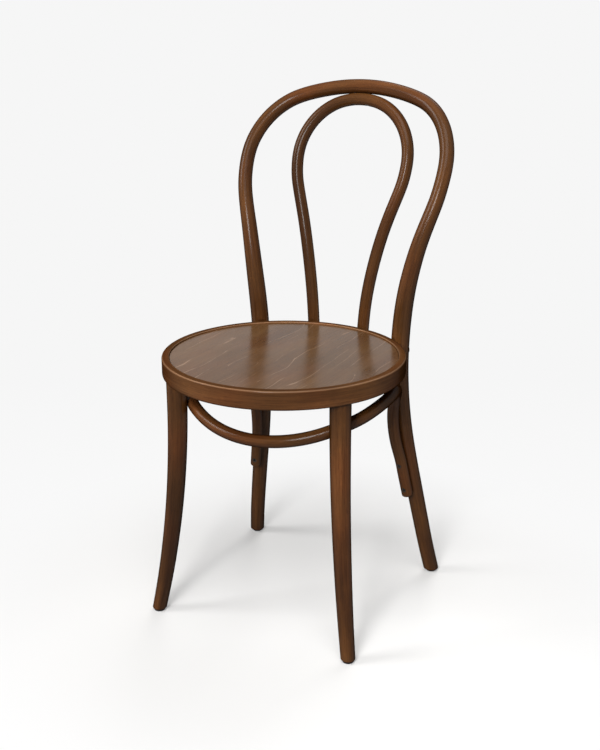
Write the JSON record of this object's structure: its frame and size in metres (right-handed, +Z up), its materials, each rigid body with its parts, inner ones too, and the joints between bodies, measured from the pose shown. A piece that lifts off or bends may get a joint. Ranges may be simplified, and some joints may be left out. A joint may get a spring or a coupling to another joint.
{
  "type": "bentwood bistro chair",
  "caption": "Bentwood bistro chair with a round rimmed seat, a double bow back bent in one piece with the rear legs, sabre front legs and a bent brace under the seat.",
  "frame": {"origin": "on the floor under the middle of the chair's outer box", "axes": "+Z up, +Y to the back of the chair, +X to the right as seen from the front"},
  "size_m": [0.406, 0.5183, 0.8892],
  "materials": {
    "frame_wood": "walnut stain under semi-gloss lacquer",
    "rim_wood": "walnut stain under semi-gloss lacquer",
    "panel_wood": "walnut stain under semi-gloss lacquer",
    "glide_plastic": "dull dark brown",
    "steel": "zinc plated",
    "dark_steel": "dark brown"
  },
  "bodies": {
    "root": {"back_frame": "frame_wood", "inner_bow": "frame_wood", "seat_rim": "rim_wood", "seat_panel": "panel_wood", "front_leg_left": "frame_wood", "front_leg_right": "frame_wood", "brace_hoop": "frame_wood", "glide_front_left": "glide_plastic", "glide_front_right": "glide_plastic", "glide_rear_left": "glide_plastic", "glide_rear_right": "glide_plastic", "glide_nails": "steel", "seat_bolts": "dark_steel", "seat_bolt_washers": "steel", "seat_bolt_nuts": "steel", "inner_bow_screws": "dark_steel", "bow_top_screws": "dark_steel", "leg_tenon_screws": "dark_steel", "brace_front_screws": "dark_steel", "brace_rear_screws": "dark_steel", "panel_screws": "steel"}
  },
  "joints": []
}
